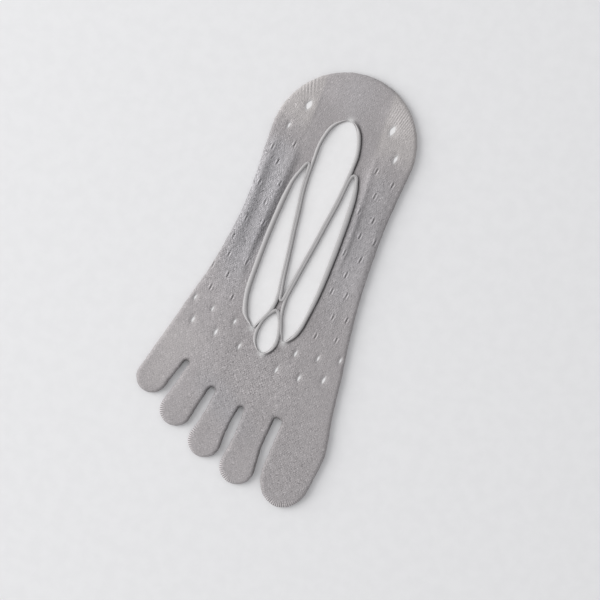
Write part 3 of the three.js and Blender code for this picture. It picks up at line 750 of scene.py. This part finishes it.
PLAIN_GREY, COOL_GREY, WARM_GREY = (0.403, 0.381, 0.384), (0.405, 0.394, 0.407), (0.485, 0.459, 0.451)
THROUGH_CLOTH = (0.72, 0.715, 0.71)
SOFT = {"Sheen_Weight": 0.1, "Sheen_Roughness": 0.5, "Specular_IOR_Level": 0.25}
DRIFT = 2.2  # how far wales and courses wander
MARK_WIDTH, MARK_LENGTH = 1.9, 2.2  # how far a pucker's slits show
PLAIN_LIGHT, STITCH_LIGHT, TWILL_LIGHT, YARN_LIGHT, CLOUD_LIGHT = 0.86, 0.16, 0.34, 0.2, 0.08
SLIT_LIGHT, RIB_LIGHT, STRETCH_DARK = 0.46, 0.42, 0.14
KNIT_RELIEF, KNIT_HEIGHT = 0.6, 0.00028

grey_knit, shader = finish("light grey knit", 0.92, **SOFT)
wale, course, pull = Field.layer("knit")
mark_x, mark_y, roughly = Field.layer("marks")
warmth, shaded, thinned = Field.layer("tone")
rib, pale, closed = Field.layer("shade")
place = Field.of("TexCoord", output=3)
wale = wale + (place.noise(420, 1) - 0.5) * DRIFT
course = course + (place.noise(530, 1) - 0.5) * DRIFT

# Each stitch has two slanting legs, and neighbouring half wales catch the light in turn.
leg = (wale.fract() - 0.5).abs() * 2.0
between_legs = (leg * 2.0 - 1.0) * (leg * 2.0 - 1.0)
stitches = (1.0 - between_legs * 0.75) * (((course - leg * 0.55) * (2 * math.pi)).sin() * 0.42 + 0.58)
half_wale, row = (wale * 2.0).floor(), (course - leg * 0.3).floor()
stitch = Field.of("CombineXYZ", {}, {0: half_wale, 1: row})
each = Field.of("TexWhiteNoise", {"noise_dimensions": "2D"}, {"Vector": stitch})
twill = ((half_wale + row).math("FLOORED_MODULO", 2.0) * 2.0 - 1.0) * (each * 1.2 + 0.1) * roughly
yarn, cloudy = place.noise(1100, 4, 0.7), place.noise(90, 3)
bars = (rib * (2 * math.pi)).sin() * 0.5 + 0.5
slits = -((mark_x - mark_y * LEAN) * (2 * math.pi / SLIT_SPACING)).math("COSINE")
across, along = mark_x / MARK_WIDTH, mark_y / MARK_LENGTH
slits = (1.0 - (across * across + along * along).step(0.1, 1.0)) * closed * slits

light = PLAIN_LIGHT + stitches * STITCH_LIGHT + twill * TWILL_LIGHT
light = light + (yarn - 0.5) * YARN_LIGHT + (cloudy - 0.5) * CLOUD_LIGHT
# The painted shade of the valleys, grooves and rim flanks darkens the knit's colour here.
light = (light + slits * SLIT_LIGHT + pull * (bars * RIB_LIGHT - STRETCH_DARK)) * pale * (1.0 - shaded)
cool_or_plain = warmth.step(-1.0, 0.0).blend(COOL_GREY, PLAIN_GREY)
knitted = light.tinted(warmth.step(0.0, 1.0).blend(cool_or_plain, WARM_GREY))
feed(shader, "Base Color", thinned.blend(knitted, THROUGH_CLOTH))
relief = stitches * 0.7 + yarn * 0.3 + twill * 0.15 + slits * 0.5 + pull * bars * 0.6
raised(shader, relief, KNIT_RELIEF, KNIT_HEIGHT)
mesh.materials.append(grey_knit)
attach(sock, "root")
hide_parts("sock_body", "instep_straps")


# The welts. Each opening's edge is knitted as a narrow band that rolls outwards into a firm round cord. On
# the straps two such rolls lie side by side, and at one end of each opening the roll is thinner.
WELT_HEIGHT, WELT_MIDDLE, END_SINK = 0.00085, 0.00380, 0.0005
END_LENGTH, END_THICKNESS, END_LIGHT = 0.006, 0.1, 0.45
STRAP_BLEND, STRAP_SPREAD, STRAP_FLATTEN, STRAP_STEP = 0.0002, 0.5, 0.35, 0.00022
# Painted highlight and painted shade on the rolls' flanks, by how they face the window.
PAINTED_OUTER_HIGHLIGHT, PAINTED_INNER_SHADE, PAINTED_RIGHT_SHADE, PAINTED_STRAP_SHADE = 0.2, 0.3, 0.1, 0.09
ROUND = 16  # corners round a roll
WELT_GREY = (0.475, 0.463, 0.463)
WELT_COURSE, WELT_SLANT = 0.85, 1.6
WELT_LIGHT, WELT_RIB_LIGHT, WELT_YARN_LIGHT = 0.92, 0.10, 0.14
WELT_RELIEF, WELT_RIB_HEIGHT = 0.5, 0.00022

rolled_knit, shader = finish("rolled grey knit", 0.9, **SOFT)
lengthwise, rounds, lit = Field.layer("roll")
yarn = Field.of("TexCoord", output=3).noise(1300, 4, 0.7)
ribs = ((lengthwise / WELT_COURSE + rounds * WELT_SLANT) * (2 * math.pi)).sin() * 0.5 + 0.5
light = (WELT_LIGHT + ribs * WELT_RIB_LIGHT + (yarn - 0.5) * WELT_YARN_LIGHT) * lit
feed(shader, "Base Color", light.tinted(WELT_GREY))
raised(shader, ribs + yarn * 0.4, WELT_RELIEF, WELT_RIB_HEIGHT)


def painted_roll_light(side, facing, full, on_strap):
    """How light a roll is painted. Where a roll's outside faces the window, its outer flank gets a painted
    highlight and its inner flank painted shade; where it faces away, its outer flank gets painted shade. The
    straps' right-hand rolls get a little more painted shade, and the thin ends are paler.
    """
    leftward = np.clip(-side[:, 0] * 1.5, 0, 1)[:, None]
    outer, inner = np.clip(facing, 0, 1), np.clip(0.2 - facing, 0, 1)
    lit = 1 + leftward * (PAINTED_OUTER_HIGHLIGHT * outer - PAINTED_INNER_SHADE * inner)
    lit = lit * (1 - PAINTED_RIGHT_SHADE * (1 - leftward) * outer)
    return lit * (1 + END_LIGHT * (1 - full[:, None])) * (1 - PAINTED_STRAP_SHADE * leftward * on_strap[:, None])


def rolled(name, path):
    """A roll of cloth along an opening's closed path of points and half widths."""
    line, half = path[:, :2], path[:, 2]
    side = outward(line)
    along = np.concatenate([[0], np.cumsum(np.linalg.norm(np.diff(line, axis=0), axis=1))]) * MM
    turn = np.linspace(0, 2 * np.pi, ROUND, endpoint=False)
    sway = 1 + 0.03 * np.sin(along / 2.3) + 0.02 * np.sin(along / 0.9 + 1)
    full = np.clip(abs(line[:, 1] - line[thin_end(name, path), 1]) / END_LENGTH, 0, 1) ** 0.8
    thick = END_THICKNESS + (1 - END_THICKNESS) * full
    on_strap = np.clip((NARROW_WELT - half) / STRAP_BLEND, 0, 1) * np.clip((full - 0.6) / 0.4, 0, 1)
    spread = half * sway * (1.03 + STRAP_SPREAD * on_strap) * thick
    height = WELT_HEIGHT * sway * thick * (1 - STRAP_FLATTEN * on_strap)
    middle = WELT_MIDDLE - (1 - full) * END_SINK
    line = line + side * (STRAP_STEP * on_strap)[:, None]
    out, up = np.cos(turn) * spread[:, None], np.sin(turn) * height[:, None]
    flat = line[:, None] + side[:, None] * out[..., None]
    verts = np.concatenate([flat, (middle[:, None] + up)[..., None]], axis=2)
    count = len(line)
    faces = []
    for i in range(count):
        here, onward = i * ROUND, (i + 1) % count * ROUND
        for j in range(ROUND):
            k = (j + 1) % ROUND
            faces.append((here + j, onward + j, onward + k, here + k))
    mesh = bpy.data.meshes.new(f"{name}_opening_roll")
    mesh.from_pydata(verts.reshape(-1, 3).tolist(), [], faces)
    mesh.polygons.foreach_set("use_smooth", np.ones(len(faces), bool))
    # The painted highlight and shade that each point of the roll gets.
    lit = painted_roll_light(side, np.cos(turn)[None, :], full, on_strap)
    rounds = np.tile(np.minimum(turn, 2 * np.pi - turn), count) / np.pi
    layer = mesh.attributes.new("roll", "FLOAT_VECTOR", "POINT")
    columns = np.column_stack([np.repeat(along, ROUND), rounds, lit.ravel()])
    layer.data.foreach_set("vector", columns.astype(np.float32).ravel())
    mesh.materials.append(rolled_knit)
    roll = bpy.data.objects.new(mesh.name, mesh)
    bpy.context.collection.objects.link(roll)
    return roll


for name, path in welt_paths.items():
    welt = rolled(name, path)
    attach(welt, "root")
    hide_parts(f"{name}_opening_welt")
